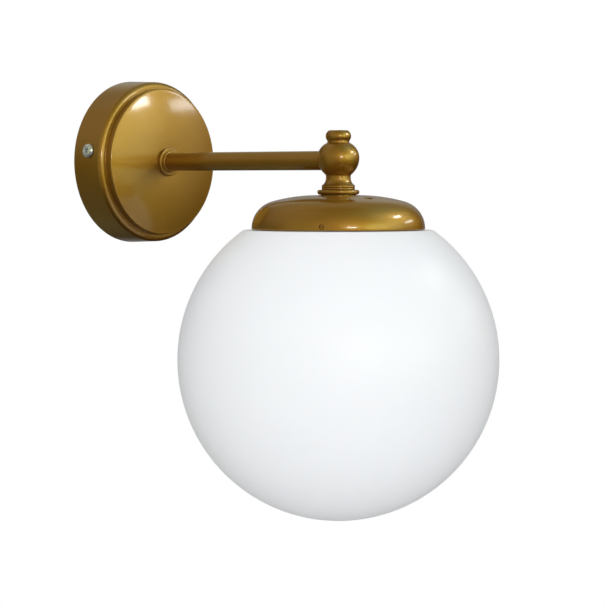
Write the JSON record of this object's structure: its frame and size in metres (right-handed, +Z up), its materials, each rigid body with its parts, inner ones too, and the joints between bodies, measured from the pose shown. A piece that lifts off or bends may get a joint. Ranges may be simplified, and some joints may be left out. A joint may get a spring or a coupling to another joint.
{
  "type": "wall lamp",
  "caption": "Wall lamp with a round canopy, a straight arm, a turned ball joint and a white glass globe held in a spun cap.",
  "frame": {"origin": "on the wall, on the arm's axis, midway between the two wall slots", "axes": "+Z up, the wall is the plane Y = 0, the lamp stands out towards -Y, +X to the right of someone who faces it"},
  "size_m": [0.2, 0.282, 0.2774],
  "materials": {
    "gold_paint": "antique gold metallic paint, glossy",
    "satin_glass": "white satin opal",
    "zinc_steel": "zinc plated",
    "brass": "plain",
    "tinned_brass": "tinned",
    "nickel": "nickel plated",
    "aluminium": "plain",
    "rubber": "matte",
    "white_plastic": "matte",
    "frosted_diffuser": "frosted",
    "ceramic": "glazed",
    "dark_glass": "black glass",
    "brown_insulation": "satin",
    "blue_insulation": "satin",
    "green_insulation": "satin"
  },
  "bodies": {
    "fixture": {"wall_bracket": "zinc_steel", "cable_bushing": "rubber", "canopy_screws": "zinc_steel", "earth_screw": "zinc_steel", "earth_washer": "zinc_steel", "earth_tag": "tinned_brass", "terminal_block": "white_plastic", "terminal_sleeves": "brass", "terminal_clamp_screws": "zinc_steel", "terminal_fixing_screw": "zinc_steel", "canopy": "gold_paint", "arm_nut": "zinc_steel", "arm_washer": "zinc_steel", "arm_nipple": "zinc_steel", "arm_collar": "gold_paint", "arm_tube": "gold_paint", "knuckle_nipple": "zinc_steel", "knuckle_ball": "gold_paint", "stem_nipple": "zinc_steel", "stem_collar": "gold_paint", "cap_flange": "gold_paint", "globe_cap": "gold_paint", "cap_washer": "zinc_steel", "cap_nut": "zinc_steel", "rim_ring": "gold_paint", "holder_bridge": "zinc_steel", "holder_bridge_screws": "zinc_steel", "holder_body": "ceramic", "holder_shell": "brass", "holder_contact": "brass", "holder_terminals": "brass", "holder_terminal_screws": "zinc_steel", "holder_rivets": "brass", "lead_live": "brown_insulation", "lead_neutral": "blue_insulation", "lead_earth": "green_insulation"},
    "globe": {"glass_globe": "satin_glass"},
    "neck_screw_front_left": {"neck_screw_2": "gold_paint"},
    "neck_screw_front_right": {"neck_screw_3": "gold_paint"},
    "neck_screw_back": {"neck_screw_1": "gold_paint"},
    "bulb_carrier": {"bulb_contact": "tinned_brass", "bulb_insulator": "dark_glass"},
    "bulb": {"bulb_cap": "nickel", "bulb_housing": "white_plastic", "bulb_board": "aluminium", "bulb_diffuser": "frosted_diffuser"},
    "finial_carrier": {"finial_stud": "zinc_steel"},
    "finial": {"finial": "gold_paint"}
  },
  "joints": [
    {"name": "globe_lower", "type": "slide", "parent": "fixture", "child": "globe", "axis": [0, 0, -1], "range_m": [0, 0.13]},
    {"name": "neck_screw_back_out", "type": "slide", "parent": "fixture", "child": "neck_screw_back", "axis": [0, 1, 0], "range_m": [0, 0.004]},
    {"name": "neck_screw_front_left_out", "type": "slide", "parent": "fixture", "child": "neck_screw_front_left", "axis": [-0.866, -0.5, 0], "range_m": [0, 0.004]},
    {"name": "neck_screw_front_right_out", "type": "slide", "parent": "fixture", "child": "neck_screw_front_right", "axis": [0.866, -0.5, 0], "range_m": [0, 0.004]},
    {"name": "bulb_travel", "type": "slide", "parent": "fixture", "child": "bulb_carrier", "axis": [0, 0, -1], "range_m": [0, 0.02542]},
    {"name": "bulb_turn", "type": "hinge", "parent": "bulb_carrier", "child": "bulb", "pos_m": [0, -0.182, -0.1], "axis": [0, 0, -1], "range_deg": [0, 2520]},
    {"name": "finial_travel", "type": "slide", "parent": "fixture", "child": "finial_carrier", "axis": [0, 0, 1], "range_m": [0, 0.00501]},
    {"name": "finial_turn", "type": "hinge", "parent": "finial_carrier", "child": "finial", "pos_m": [0, -0.182, 0.015], "axis": [0, 0, 1], "range_deg": [0, 1800]}
  ],
  "couplings": [
    {"joint": "bulb_travel", "follows": "bulb_turn", "m_per_rad": 0.00057773},
    {"joint": "finial_travel", "follows": "finial_turn", "m_per_rad": 0.00015915}
  ]
}
